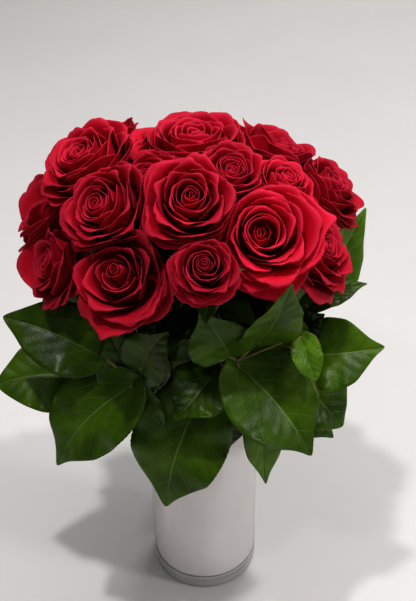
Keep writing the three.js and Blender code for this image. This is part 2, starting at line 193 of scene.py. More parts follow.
ROSES = [
    rose_row(-175, 78, 103, (0, 88), 80, INNER, FLAT, full=1.4, tone=1.15, own_petals=TOP_PETALS),
    rose_row(-88, 49, 132, (-66, 62), 68, MIDDLE, OPEN, tone=1.1, full=1.1),
    rose_row(-51, 43, 124, (-42, 46), 68, MIDDLE, OPEN, shift=(-0.12, -0.04), full=1.05),
    rose_row(-3, 52, 125, (2, 50), 70, MIDDLE, OPEN, shift=(0.04, 0.06), tone=1.05, full=0.95),
    rose_row(-58, 65, 97, (-30, 62), 46, INNER, TIGHT, full=1.25),
    rose_row(-122, 53, 107, (-90, 70), 54, INNER, OPEN),
    rose_row(37, 66, 110, (25, 62), 50, INNER, TIGHT),
    rose_row(74, 48, 108, (62, 62), 66, MIDDLE, FLAT, tone=1.2),
    rose_row(33, 36, 119, (8, 40), 76, OUTER, HOLLOW, shift=(-0.16, 0.10), tone=1.4,
             own_petals=HOLLOW_PETALS),
    rose_row(-33, 21, 117, (-24, 43), 64, OUTER, POINTED, shift=(-0.10, 0.20), tone=0.86, fold=1.9,
             full=1.06, own_petals=PEAKED_PETALS),
    rose_row(3, 29, 126, (2, 42), 50, OUTER, TIGHT, leaf_draw=61, shift=(0.0, 0.20), tone=0.8,
             full=0.86),
    rose_row(66, 20, 115, (70, 36), 65, OUTER, OPEN, tone=0.95, full=1.08),
    rose_row(95, 30, 127, (85, 47), 60, OUTER, OPEN, tone=0.9, full=1.12, ruffle=1.9),
    rose_row(118, 47, 117, (110, 62), 64, MIDDLE, POINTED, ruffle=2.2, full=1.25),
    rose_row(151, 38, 119, (150, 66), 58, MIDDLE, OPEN, ruffle=2.2, full=1.12),
    rose_row(-97, 18, 136, (-100, 42), 62, OUTER, POINTED, point=0.2, tone=0.8, ruffle=1.8,
             full=1.05, own_petals=LEFT_PETALS),
    rose_row(-73, 10, 128, (-72, 24), 66, OUTER, POINTED, point=0.1, tone=0.85, full=0.95,
             own_petals=LOW_LEFT_PETALS),
    rose_row(-136, 36, 134, (-140, 60), 60, MIDDLE, OPEN),
    rose_row(-178, 28, 122, (180, 40), 60, MIDDLE, HOLLOW),
    rose_row(-149, 15, 112, (-145, 36), 62, OUTER, OPEN),
    rose_row(144, 12, 123, (145, 34), 64, OUTER, TIGHT),
    rose_row(180, -4, 114, (180, 18), 62, OUTER, OPEN),
    rose_row(-117, 9, 109, (-112, 24), 60, OUTER, HOLLOW),
    rose_row(117, 10, 112, (115, 24), 62, OUTER, OPEN),
]

# ---- leaf sprigs, as in the frame, in millimetres


def leaf_row(joint, base, tip, width, look, **manner):
    """One leaf: the point of the sprig's path that it grows from, where its blade starts and ends,
    its width, and where its face looks (azimuth and elevation). Its manner can give a tone (how
    bright it is), a lobe (how far its shoulders reach back), a swing (how far its midrib bows
    sideways) and a taper (how much its tip is drawn in)."""
    return dict(joint=joint, base=base, tip=tip, width=width, look=look, **manner)


def sprig_row(lean, path, leaves):
    """One sprig: the azimuth where it leans on the vase's rim, its path above, and its leaves."""
    return {"lean": lean, "path": path, "leaves": leaves}


# Tones of 0.4 and 0.5 paint the shade that the blooms cast on the small leaves tucked under them.
SPRIGS = [
    sprig_row(-28, [(-38, -58, 264), (-50, -71, 278), (-71, -66, 297)], [
        leaf_row(2, (-75, -64, 297), (-155, -40, 323), 56, (-20, 45), tone=0.62, lobe=0.03,
                 swing=0.04, taper=0.25),
        leaf_row(1, (-54, -76, 280), (-119, -87, 206), 66, (-20, 35), tone=1.0, swing=0.06),
        leaf_row(0, (-40, -61, 268), (-72, -58, 322), 58, (-14, 30), tone=0.8),
        leaf_row(1, (-46, -70, 286), (-22, -84, 338), 42, (-25, 12), tone=0.75),
        leaf_row(1, (-43, -72, 274), (-28, -84, 238), 22, (-40, 20), tone=0.8, swing=0.0),
    ]),
    sprig_row(4, [(4, -58, 251), (0, -70, 262)], [
        leaf_row(1, (-1, -73, 261), (-31, -101, 170), 77, (-12, 22), tone=1.0, lobe=0.24,
                 swing=0.04),
        leaf_row(0, (1, -60, 264), (-12, -60, 324), 42, (-6, 6), tone=0.7),
    ]),
    sprig_row(17, [(15, -58, 246), (15, -71, 289), (28, -77, 303), (43, -76, 319)], [
        leaf_row(2, (30, -80, 301), (86, -112, 236), 75, (25, 38), tone=0.95, swing=-0.03),
        leaf_row(3, (45, -78, 321), (66, -104, 392), 45, (20, 10), tone=1.0, swing=-0.015),
        leaf_row(1, (12, -74, 291), (-21, -102, 266), 50, (-35, 30), tone=0.8),
        leaf_row(2, (24, -79, 308), (1, -86, 358), 52, (-8, 14), tone=0.9, lobe=0.0),
        leaf_row(0, (18, -59, 243), (24, -65, 203), 40, (18, 20), tone=0.4),
        leaf_row(2, (77, -80, 328), (88, -97, 299), 26, (25, 25), tone=1.6, taper=0.1),
    ]),
    sprig_row(67, [(57, -36, 258), (68, -44, 273), (78, -50, 286)], [
        leaf_row(2, (81, -51, 287), (145, -62, 303), 58, (15, 45), tone=1.2),
        leaf_row(1, (76, -48, 268), (117, -66, 224), 61, (40, 30), tone=1.3, taper=0.1),
        leaf_row(0, (66, -40, 252), (112, -54, 200), 48, (35, 20), tone=1.1),
        leaf_row(0, (52, -45, 250), (55, -62, 154), 34, (10, 12), tone=1.4),
        leaf_row(2, (72, -48, 294), (52, -66, 348), 44, (12, 10), tone=0.75),
        leaf_row(2, (74, -36, 307), (98, -50, 327), 30, (20, 30), tone=0.4),
    ]),
    sprig_row(94, [(62, -4, 270), (74, -14, 298), (84, -22, 316)], [
        leaf_row(2, (87, -26, 317), (137, -10, 328), 26, (30, 65), tone=0.75),
        leaf_row(1, (80, -4, 306), (138, 30, 376), 54, (35, 20), tone=1.9),
    ]),
    sprig_row(-66, [(-60, -16, 252), (-80, -14, 258)], [
        leaf_row(1, (-97, -20, 244), (-174, -27, 243), 68, (-15, 50), tone=1.15, taper=0.1),
        leaf_row(1, (-86, -8, 266), (-130, 24, 320), 60, (-60, 30), tone=0.9),
        leaf_row(1, (-80, -20, 264), (-80, -46, 324), 46, (-62, 12), tone=0.5),
    ]),
    sprig_row(-97, [(-62, 10, 258), (-78, 24, 286)], [
        leaf_row(1, (-82, 28, 290), (-148, 58, 316), 58, (-120, 50)),
        leaf_row(0, (-68, 16, 256), (-135, 36, 214), 64, (-105, 35)),
        leaf_row(1, (-76, 34, 284), (-100, 92, 262), 60, (-145, 40)),
        leaf_row(1, (-80, 26, 290), (-88, 4, 338), 46, (-95, 12), tone=0.5),
    ]),
    sprig_row(-146, [(-34, 56, 258), (-44, 72, 288)], [
        leaf_row(1, (-46, 76, 292), (-88, 128, 312), 64, (-150, 48)),
        leaf_row(0, (-38, 62, 256), (-70, 112, 206), 66, (-150, 30)),
        leaf_row(1, (-38, 78, 290), (-30, 132, 270), 54, (-175, 40)),
        leaf_row(1, (-47, 74, 292), (-68, 58, 338), 38, (-140, 12), tone=0.5),
    ]),
    sprig_row(-177, [(2, 62, 254), (10, 78, 282)], [
        leaf_row(1, (14, 82, 288), (36, 142, 318), 64, (170, 48)),
        leaf_row(0, (2, 68, 250), (-8, 108, 186), 70, (180, 28)),
        leaf_row(1, (18, 80, 280), (62, 118, 252), 54, (150, 35)),
        leaf_row(1, (12, 80, 284), (-6, 86, 318), 32, (-176, 12), tone=0.5),
    ]),
    sprig_row(149, [(36, 54, 258), (56, 62, 288)], [
        leaf_row(1, (62, 66, 292), (118, 98, 314), 64, (130, 48)),
        leaf_row(0, (44, 54, 256), (102, 76, 206), 66, (125, 32)),
        leaf_row(1, (64, 54, 290), (130, 46, 278), 54, (95, 45)),
        leaf_row(1, (60, 64, 290), (78, 44, 338), 46, (125, 12), tone=0.5),
    ]),
]

# ---- places and directions


def polar(radius, azimuth, height):
    angle = math.radians(azimuth)
    return Vector((radius * math.sin(angle), -radius * math.cos(angle), height))


def azimuth_of(point):
    return math.degrees(math.atan2(point.x, -point.y))


def direction(azimuth, elevation):
    lift = math.radians(elevation)
    return polar(math.cos(lift), azimuth, math.sin(lift))


def leaning_point(ring, azimuth, height):
    lean = (height - WAIST_HEIGHT) / WAIST_HEIGHT
    return polar(ring, azimuth, 0) + polar(ring * lean, azimuth + 90, height)


def bloom_seat(rose):
    """The point where the bloom meets its hip, and the direction that the bloom looks."""
    look = direction(*rose["look"])
    face = DOME_CENTRE + direction(rose["azimuth"], rose["elevation"]) * rose["reach"] * MM
    return face - look * BLOOM_DEPTH * rose["width"] * MM, look


def smooth_step(low, high, value):
    share = np.clip((value - low) / (high - low), 0, 1)
    return share * share * (3 - 2 * share)


def bezier(controls, share):
    a, b, c, d = controls
    rest = 1 - share
    return a * rest**3 + b * 3 * rest**2 * share + c * 3 * rest * share**2 + d * share**3


# ---- meshes from grids


class Sheets:
    """Gathers grids of points, and turns them into one mesh with a marking on each point."""

    def __init__(self):
        self.points, self.faces, self.marks, self.tones, self.veins = [], [], [], [], []
        self.count = 0

    def add(self, grid, mark_u, mark_v, chance, closed_across=False, tone=1.0, vein=None):
        rows, columns, _ = grid.shape
        index = np.arange(rows * columns).reshape(rows, columns) + self.count
        if closed_across:
            index = np.concatenate([index, index[:, :1]], axis=1)
        corners = [index[:-1, :-1], index[:-1, 1:], index[1:, 1:], index[1:, :-1]]
        self.faces.append(np.stack(corners, axis=-1).reshape(-1, 4))
        self.points.append(grid.reshape(-1, 3))
        marks = np.stack([mark_u, mark_v, np.full_like(mark_u, chance)], axis=-1)
        self.marks.append(marks.reshape(-1, 3))
        self.tones.append(np.full(rows * columns, tone))
        self.veins.append(np.zeros(rows * columns) if vein is None else vein.ravel())
        self.count += rows * columns

    def to_object(self, name, material, thickness=0):
        mesh = bpy.data.meshes.new(name)
        points = np.concatenate(self.points)
        faces = np.concatenate(self.faces)
        mesh.from_pydata(points.tolist(), [], faces.tolist())
        marking = mesh.attributes.new("place", "FLOAT_VECTOR", "POINT")
        marking.data.foreach_set("vector", np.concatenate(self.marks).astype(np.float32).ravel())
        for mark, numbers in (("tone", self.tones), ("vein", self.veins)):
            marking = mesh.attributes.new(mark, "FLOAT", "POINT")
            marking.data.foreach_set("value", np.concatenate(numbers).astype(np.float32))
        mesh.polygons.foreach_set("use_smooth", np.ones(len(faces), bool))
        mesh.update()
        mesh.materials.append(material)
        made = bpy.data.objects.new(name, mesh)
        bpy.context.scene.collection.objects.link(made)
        if thickness:
            solid = made.modifiers.new("thickness", "SOLIDIFY")
            solid.thickness = thickness
            solid.offset = 0
            solid.use_quality_normals = True
        return made


# ---- petals

PETAL_ROWS = 16
PETAL_COLUMNS = 21
PETAL_ROW_CROWDING = 0.85
BODY_STEPS = 26
LIP_STEPS = 14
GOLDEN_ANGLE = math.radians(137.508)
PETAL_THICKNESS = 0.35 * MM

# How petals change from the heart to the edge of the bloom, by where their rims stand: how high
# they start, how far they belly out, how flat they lie across and how far their sides drop.
COURSE_RIMS = [0, 0.5, 1]
FOOT_HEIGHTS = [0.25, 0.10, 0.02]
BELLIES = [1.25, 1.10, 0.72]
FLATNESS_RIMS = [0, 0.25, 0.6, 1]
FLATNESSES = [1.0, 1.04, 1.16, 1.5]
DROP_RIMS = [0, 0.3, 0.7, 1]
SIDE_DROPS = [0.06, 0.14, 0.20, 0.24]

# The course of every petal, in shares of its rise, and its outline, in shares of its size.
BELLY_RISE = 0.08
CREST_PULL = 0.5
TIP_LENGTH = 0.06
TIP_WIDTH = 0.25
KEEL_WIDTH = 0.3
CLAW_WIDTH = 0.30
FULL_WIDTH_AT = 0.62
POINT_NARROWING = 0.34
LEAST_WRAP = 0.03
MOST_TURN = 2.9

# How fast the waves of a petal run across it, in radians over half its width.
RIM_WAVE = 5.2
NOTCH_WAVES = (8.3, 5.1)
RIPPLE_WAVE = 3.4
FRILL_WAVE = 8.6
HEAVE_WAVE = 4.6


def petal_sides(petal, across, radius, depth):
    """Radius and height along each column of a petal, evenly from its base to its rim."""
    rim = petal["rim"]
    lean = math.radians(petal["lean"])
    foot_height = depth * np.interp(rim, COURSE_RIMS, FOOT_HEIGHTS)
    foot = np.array([radius * (0.03 + 0.05 * rim), foot_height])
    crest = np.array([radius * rim, depth * petal["height"]])
    rise = crest[1] - foot[1]
    belly = np.interp(rim, COURSE_RIMS, BELLIES)
    first = foot + np.array([(crest[0] - foot[0]) * belly, rise * BELLY_RISE])
    second = crest - np.array([math.sin(lean), math.cos(lean)]) * rise * CREST_PULL
    share = np.linspace(0, 1, BODY_STEPS)[:, None]
    body = bezier((foot, first, second, crest), share)
    roll = np.where(across < 0, petal["roll"][0], petal["roll"][1])
    curl = np.radians(petal["curl"] + roll * np.abs(across) ** 2)
    step = np.linspace(0, 1, LIP_STEPS)[1:, None]
    angle = lean + curl[None, :] * step**1.2
    stride = radius * petal["lip"] / (LIP_STEPS - 1)
    out = crest[0] + np.cumsum(np.sin(angle), axis=0) * stride
    up = crest[1] + np.cumsum(np.cos(angle), axis=0) * stride
    columns = len(across)
    out = np.concatenate([np.repeat(body[:, :1], columns, axis=1), out])
    up = np.concatenate([np.repeat(body[:, 1:], columns, axis=1), up])
    return out, up


def petal_level(petal, across, v):
    """How far up its course each point of a petal lies: its sides drop and its rim is uneven."""
    side = np.abs(across)[None, :]
    drop = petal["drop"] * side**2.4
    tip = petal["point"] * TIP_LENGTH * np.exp(-((side / TIP_WIDTH) ** 2)) * v**4
    level = v * (1 - drop) * (1 - TIP_LENGTH * petal["point"]) + tip
    level += petal["wave"] * 0.5 * np.sin(RIM_WAVE * across + petal["phase"])[None, :] * v**3
    notches = np.sin(NOTCH_WAVES[0] * across + 1.7 * petal["phase"])
    notches *= np.sin(NOTCH_WAVES[1] * across - petal["phase"])
    level -= petal["ragged"] * (notches**2)[None, :] * v**5
    return np.clip(level, 0, 1)


def petal_grid(petal, radius, depth):
    """One petal in the bloom's own frame: +X is right, +Y is up and +Z is where it looks."""
    across = np.linspace(-1, 1, PETAL_COLUMNS)
    side = np.abs(across)[None, :]
    out, up = petal_sides(petal, across, radius, depth)
    steps = np.hypot(np.diff(out, axis=0), np.diff(up, axis=0))
    run = np.concatenate([np.zeros((1, PETAL_COLUMNS)), np.cumsum(steps, axis=0)])
    v = np.linspace(0, 1, PETAL_ROWS)[:, None] ** PETAL_ROW_CROWDING
    level = petal_level(petal, across, v)
    reached = level * run[-1]
    columns = range(PETAL_COLUMNS)
    petal_out = np.stack([np.interp(reached[:, c], run[:, c], out[:, c]) for c in columns], axis=1)
    petal_up = np.stack([np.interp(reached[:, c], run[:, c], up[:, c]) for c in columns], axis=1)

    half_width = math.radians(petal["span"]) * (radius * petal["rim"])
    spread = smooth_step(0, FULL_WIDTH_AT, level)
    half_width = half_width * (CLAW_WIDTH + (1 - CLAW_WIDTH) * spread)
    narrowing = smooth_step(FULL_WIDTH_AT, 1.0, level)
    half_width = half_width * (1 - POINT_NARROWING * petal["point"] * narrowing)
    flatness = np.interp(petal["rim"], FLATNESS_RIMS, FLATNESSES)
    wrap = np.maximum(petal_out * flatness, radius * LEAST_WRAP)
    across, phase = across[None, :], petal["phase"]
    angle = across * np.minimum(half_width / wrap, MOST_TURN)
    petal_out = petal_out * (1 + petal["wind"] * across * smooth_step(0.1, 0.6, level))
    keel = np.exp(-((side / KEEL_WIDTH) ** 2))
    petal_out += petal["keel"] * radius * keel * level**4
    ripple = np.sin(RIPPLE_WAVE * across + phase * 2 + 2.4 * level)
    petal_out += petal["wave"] * radius * ripple * level**2
    frill = np.sin(FRILL_WAVE * across + phase * 3)
    petal_out += petal["frill"] * radius * frill * level**6
    heave = np.cos(HEAVE_WAVE * across + phase)
    petal_up += petal["wave"] * radius * heave * level**3

    outward = petal_out - wrap * (1 - np.cos(angle))
    sideways = wrap * np.sin(angle)
    cosine, sine = math.cos(petal["turn"]), math.sin(petal["turn"])
    lean_in = (1 - petal["rim"]) * radius * smooth_step(0.05, 0.75, level)
    x = outward * cosine - sideways * sine + petal["shift"][0] * lean_in
    y = outward * sine + sideways * cosine + petal["shift"][1] * lean_in
    return np.stack([x, y, petal_up], axis=-1), *np.broadcast_arrays(across, v)


SIDE_ROLL = 70
HEART_SHIFT = 0.12
PETAL_POINT = 0.6
KEEL_DEPTH = 0.04
FRILL_DEPTH = 0.012
NOTCH_DEPTH = 0.05


def petals_of(rose, rng):
    """The petals of a bloom, whorl by whorl, each with its own small differences. The rose's own
    petals come last, and take what they don't say from the petal before."""
    petals = []
    turn = rng.uniform(0, 2 * math.pi)
    shift = (rng.uniform(-HEART_SHIFT, HEART_SHIFT), rng.uniform(-HEART_SHIFT, HEART_SHIFT))
    shift = rose.get("shift", shift)
    point = rose.get("point", PETAL_POINT)
    ruffle = rose.get("ruffle", 1.0)
    for group in rose["style"]:
        ends = {key: pair for key, pair in group.items() if key != "count"}
        count = group["count"]
        for number in range(count):
            share = number / (count - 1)
            petal = {key: first + (last - first) * share for key, (first, last) in ends.items()}
            rim = petal["rim"]
            petal["height"] += rng.uniform(-0.035, 0.035)
            petal["rim"] *= rng.uniform(0.96, 1.04)
            petal["curl"] += rng.uniform(-14, 20) * rim
            petal["lean"] += rng.uniform(-5, 5) * rim
            petal["span"] *= rng.uniform(0.9, 1.12)
            petal["drop"] = np.interp(rim, DROP_RIMS, SIDE_DROPS) * rng.uniform(0.7, 1.3)
            petal["point"] = point * smooth_step(0.2, 0.7, rim) * rng.uniform(0.5, 1.5)
            roll = SIDE_ROLL * rim * rose.get("fold", 1.0)
            petal["roll"] = (roll * rng.uniform(0.2, 1.3), roll * rng.uniform(0.2, 1.3))
            petal["keel"] = KEEL_DEPTH * petal["point"]
            petal["wave"] = (0.012 + 0.020 * rim) * ruffle
            petal["frill"] = FRILL_DEPTH * rim * ruffle
            petal["ragged"] = NOTCH_DEPTH * rim * rng.uniform(0.2, 1.4)
            petal["phase"] = rng.uniform(0, 2 * math.pi)
            petal["shift"] = shift
            petal["turn"] = turn
            turn += GOLDEN_ANGLE + rng.uniform(-0.22, 0.22)
            petals.append(petal)
    for changes in rose["own_petals"]:
        petals.append({**petals[-1], **changes})
    return petals


def frame_towards(look, base):
    """Rows of numbers that turn points of a bloom's own frame into the model's frame."""
    right = Vector((0, 0, 1)).cross(look).normalized()
    up = look.cross(right)
    return np.array(Matrix((right, up, look)).transposed()), np.array(base)


NEIGHBOUR_MARGIN = 0.22
NEIGHBOUR_REACH = 1.35
BLOOM_MIDDLE = 0.6


def bloom_middle(rose):
    base, look = bloom_seat(rose)
    return np.array(base + look * BLOOM_DEPTH * rose["width"] * MM * BLOOM_MIDDLE)


def press_from_neighbours(points, index):
    """Petals that would run into the next bloom are pressed flat against a plane between."""
    rose = ROSES[index]
    half = rose["width"] * MM / 2
    middle = bloom_middle(rose)
    for other_index, other in enumerate(ROSES):
        if other_index == index:
            continue
        other_half = other["width"] * MM / 2
        gap = bloom_middle(other) - middle
        distance = np.linalg.norm(gap)
        if distance > NEIGHBOUR_REACH * (half + other_half):
            continue
        normal = gap / distance
        limit = distance * half / (half + other_half)
        margin = NEIGHBOUR_MARGIN * half
        past = (points - middle) @ normal - (limit - margin)
        pressed = margin * (1 - np.exp(-np.maximum(past, 0) / margin))
        shift = np.where(past > 0, pressed - past, 0)
        points = points + shift[:, None] * normal
    return points


def make_bloom(index, material):
    rose = ROSES[index]
    rng = np.random.default_rng(BLOOM_DRAW + index)
    base, look = bloom_seat(rose)
    rotation, origin = frame_towards(look, base)
    sheets = Sheets()
    radius = rose["width"] * MM / 2 * rose.get("full", 1.0)
    depth = BLOOM_DEPTH * rose["width"] * MM
    for petal in petals_of(rose, rng):
        grid, mark_u, mark_v = petal_grid(petal, radius, depth)
        points = grid.reshape(-1, 3) @ rotation.T + origin
        # A rose's own petals may reach over its neighbours.
        if not petal.get("own"):
            points = press_from_neighbours(points, index)
        grid = points.reshape(grid.shape)
        sheets.add(grid, mark_u, mark_v, rng.random(), tone=rose.get("tone", 1.0))
    number = f"{index + 1:02d}"
    piece = sheets.to_object(f"rose_{number}_petals", material, PETAL_THICKNESS)
    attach(piece, "root")
    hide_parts(f"rose_{number}_bloom")


# ---- stems

STEM_SIDES = 12
STRAIGHT_STEPS = 12
STEM_STEPS = 26
NECK_RISE = 0.42
NECK_DROP = 0.24

# The hip below the bloom: how far down (share of its length) and its radius there.
HIP_PROFILE = [
    (0.82, 3.5 * MM), (0.6, 4.7 * MM), (0.38, 5.2 * MM), (0.16, 4.4 * MM), (0.06, 2.2 * MM),
]
SEPALS = 5
SEPAL_ROWS = 12
SEPAL_COLUMNS = 5
SEPAL_THICKNESS = 0.5 * MM
SEPAL_LENGTHS = (22, 32)
SEPAL_START = (3.2 * MM, -1.6 * MM)
SEPAL_SLOPE = 62
SEPAL_CURL = 40
SEPAL_HALF_WIDTH = 3.0 * MM
SEPAL_TIP = 0.12 * MM
SEPAL_CUP = 0.18

THORNS = 4
THORN_RADII = [1.7 * MM, 1.0 * MM, 0.7 * MM, 0.08 * MM]
THORN_SIDES = 7
THORN_DEPTH = 0.8

# The bend and the tip of a thorn: how far out of the stem and how far up along it (mm).
THORN_COURSE = [(2.2, 0.2), (4.2, -1.6)]


def tube(points, radii, sides, level_foot=False):
    """Rings of points along a path, closed at both ends, as a grid that closes across."""
    points = [Vector(point) for point in points]
    right = (points[1] - points[0]).orthogonal().normalized()
    angles = np.linspace(0, 2 * math.pi, sides, endpoint=False)
    rings = []
    for step, point in enumerate(points):
        ahead = points[min(step + 1, len(points) - 1)]
        behind = points[max(step - 1, 0)]
        along = (ahead - behind).normalized()
        right = (right - along * right.dot(along)).normalized()
        front = along.cross(right)
        spokes = [right * math.cos(angle) + front * math.sin(angle) for angle in angles]
        rings.append([point + spoke * radii[step] for spoke in spokes])
    rings = [[point.lerp(points[0], 0.98) for point in rings[0]]] + rings
    rings.append([point.lerp(points[-1], 0.98) for point in rings[-1]])
    grid = np.array([[tuple(point) for point in ring] for ring in rings])
    if level_foot:
        grid[:2, :, 2] = points[0].z
    return grid


def stem_path(rose):
    base, look = bloom_seat(rose)
    azimuth = azimuth_of(base) - STEM_TWIST
    foot = leaning_point(rose["ring"], azimuth, STEM_START)
    shoulder = leaning_point(rose["ring"], azimuth, STRAIGHT_UNTIL)
    rise = (shoulder - foot).normalized()
    hip_start = base - look * HIP_LENGTH
    reach = (hip_start - shoulder).length
    above_shoulder = shoulder + rise * reach * NECK_RISE
    below_hip = hip_start - look * reach * NECK_DROP
    controls = [shoulder, above_shoulder, below_hip, hip_start]
    shares = np.linspace(0, 1, STRAIGHT_STEPS, endpoint=False)
    straight = [foot.lerp(shoulder, share) for share in shares]
    return straight + [bezier(controls, share) for share in np.linspace(0, 1, STEM_STEPS)]


def add_round(sheets, grid, chance):
    rows, columns, _ = grid.shape
    mark_u, mark_v = np.meshgrid(np.linspace(0, 1, columns), np.linspace(0, 1, rows))
    sheets.add(grid, mark_u, mark_v, chance, closed_across=True)


def add_sepal(sheets, base, look, turn, rng):
    """A narrow green sepal that hugs the underside of the bloom and curls off at its tip."""
    rotation, origin = frame_towards(look, base)
    length = rng.uniform(*SEPAL_LENGTHS) * MM
    v = np.linspace(0, 1, SEPAL_ROWS)[:, None]
    u = np.linspace(-1, 1, SEPAL_COLUMNS)[None, :]
    slope = np.radians(SEPAL_SLOPE + SEPAL_CURL * v**1.5 + rng.uniform(-8, 10))
    step = length / (SEPAL_ROWS - 1)
    out = SEPAL_START[0] + np.cumsum(np.sin(slope), axis=0) * step
    up = SEPAL_START[1] + np.cumsum(np.cos(slope), axis=0) * step
    half = SEPAL_HALF_WIDTH * np.sin(np.pi * (0.18 + 0.82 * v) ** 0.8) ** 0.9 + SEPAL_TIP
    sideways = u * half
    up = up + SEPAL_CUP * np.abs(u) * half
    out = np.broadcast_to(out, sideways.shape)
    cosine, sine = math.cos(turn), math.sin(turn)
    grid = np.stack([out * cosine - sideways * sine, out * sine + sideways * cosine, up], axis=-1)
    grid = (grid.reshape(-1, 3) @ rotation.T + origin).reshape(grid.shape)
    under = grid - np.array(look) * SEPAL_THICKNESS
    ring = np.concatenate([grid, under[:, ::-1]], axis=1)
    add_round(sheets, ring, 0.8)


def add_thorn(sheets, path, rng):
    step = int(rng.uniform(14, len(path) - 3))
    along = (path[step + 1] - path[step]).normalized()
    turned_out = Matrix.Rotation(rng.uniform(0, 2 * math.pi), 3, along)
    outward = turned_out @ along.orthogonal().normalized()
    root = path[step] + outward * STEM_RADIUS * THORN_DEPTH
    bend, tip = [root + outward * out * MM + along * up * MM for out, up in THORN_COURSE]
    points = [root, root.lerp(bend, 0.6), bend, tip]
    add_round(sheets, tube(points, THORN_RADII, THORN_SIDES), 0.95)


def make_stem(index, material):
    rose = ROSES[index]
    rng = np.random.default_rng(STEM_DRAW + index)
    base, look = bloom_seat(rose)
    path = stem_path(rose)
    sheets = Sheets()
    steps = range(len(path))
    radii = [STEM_RADIUS * (0.97 + 0.05 * math.sin(0.9 * step + index)) for step in steps]
    path_hip = [base - look * HIP_LENGTH * share for share, _ in HIP_PROFILE]
    radii_hip = [radius for _, radius in HIP_PROFILE]
    grid = tube(path + path_hip, radii + radii_hip, STEM_SIDES, level_foot=True)
    add_round(sheets, grid, rng.random())
    for number in range(SEPALS):
        turn = number * 2 * math.pi / SEPALS + rng.uniform(-0.2, 0.2)
        add_sepal(sheets, base, look, turn, rng)
    for _ in range(THORNS):
        add_thorn(sheets, path, rng)
    number = f"{index + 1:02d}"
    piece = sheets.to_object(f"rose_{number}_stem_and_sepals", material)
    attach(piece, "root")
    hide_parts(f"rose_{number}_stem")


# ---- leaves

LEAF_ROWS = 61
LEAF_COLUMNS = 19
LEAF_ROW_CROWDING = 0.96
LEAF_COLUMN_CROWDING = 1.1
LEAF_THICKNESS = 0.5 * MM
BLADE_BELLY = 0.71
BLADE_ROUNDNESS = 0.74
BLADE_TAPER = 0.50
TAPER_SPAN = (0.62, 0.97)
BLADE_ARCH = 0.07
BLADE_FOLD = 0.16
BLADE_WAVE = 0.085
BASE_WIDTH = 0.012
BASE_LOBE = 0.12
SWING = 0.07
TEETH = 30
TOOTH_DEPTH = 0.016
TEETH_START = (0.1, 0.3)
SIDE_VEINS = 5.4
VEIN_SLANT = 0.56
QUILT_HEIGHT = 0.8 * MM
MIDRIB_DEPTH = 0.6 * MM
MIDRIB_WIDTH = 0.06

# The waves of a blade's edges: how fast each runs along it, how strong it is, and whether it
# lifts both edges together.
EDGE_WAVES = [(2.6, 1, False), (5.3, 0.7, True), (9.7, 0.35, False)]


def leaf_grid(leaf, rng):
    """A leaf's blade, its marks across and along, and a count of its side veins at each point."""
    base = np.array(leaf["base"]) * MM
    tip = np.array(leaf["tip"]) * MM
    length = np.linalg.norm(tip - base)
    along = (tip - base) / length
    normal = np.array(direction(*leaf["look"]))
    normal = normal - along * normal.dot(along)
    normal /= np.linalg.norm(normal)
    sideways = np.cross(along, normal)
    v = np.linspace(0, 1, LEAF_ROWS) ** LEAF_ROW_CROWDING
    u = np.linspace(-1, 1, LEAF_COLUMNS)
    u = np.sign(u) * np.abs(u) ** LEAF_COLUMN_CROWDING
    v_grid = np.broadcast_to(v[:, None], (LEAF_ROWS, LEAF_COLUMNS))
    u_grid = np.broadcast_to(u[None, :], (LEAF_ROWS, LEAF_COLUMNS))
    size = np.abs(u_grid)
    outline = np.sin(np.pi * v**BLADE_BELLY) ** BLADE_ROUNDNESS
    taper = leaf.get("taper", BLADE_TAPER)
    outline = outline * (1 - taper * smooth_step(*TAPER_SPAN, v)) + BASE_WIDTH
    teeth = TOOTH_DEPTH * (np.abs((v * TEETH) % 1 - 0.5) * 2) * smooth_step(*TEETH_START, v)
    half = (outline * (1 + teeth) * leaf["width"] / 2 * MM)[:, None]
    phases = rng.uniform(0, 2 * math.pi, 4)
    edge_wave = 0
    for (pace, strength, together), phase in zip(EDGE_WAVES, phases):
        wave = strength * np.sin(pace * math.pi * v_grid + phase)
        edge_wave += wave * (size if together else u_grid)
    lift = BLADE_FOLD * size**1.3 * half + BLADE_WAVE * edge_wave * half * size
    vein = SIDE_VEINS * (v_grid - VEIN_SLANT * (size * outline[:, None]) ** 1.3)
    quilt = np.abs(np.sin(np.pi * vein)) * np.sin(np.pi * np.minimum(size * 1.05, 1)) ** 0.7
    from_base, from_tip = smooth_step(0.0, 0.12, v_grid), smooth_step(1.0, 0.8, v_grid)
    lift += QUILT_HEIGHT * quilt * from_base * from_tip
    lift -= MIDRIB_DEPTH * np.exp(-((u_grid / MIDRIB_WIDTH) ** 2))
    bow = np.sin(np.pi * v_grid)
    arch = BLADE_ARCH * length * bow
    swing = leaf.get("swing", rng.uniform(-SWING, SWING)) * length * bow
    lobed = v_grid - leaf.get("lobe", BASE_LOBE) * size**1.5 * (1 - v_grid) ** 3
    centre = base + lobed[..., None] * (tip - base)
    grid = centre + normal * (arch + lift)[..., None]
    grid += sideways * (u_grid * half + swing)[..., None]
    return grid, u_grid, v_grid, vein


def passing(a, b, start, end, t):
    return a * (end - t) / (end - start) + b * (t - start) / (end - start)


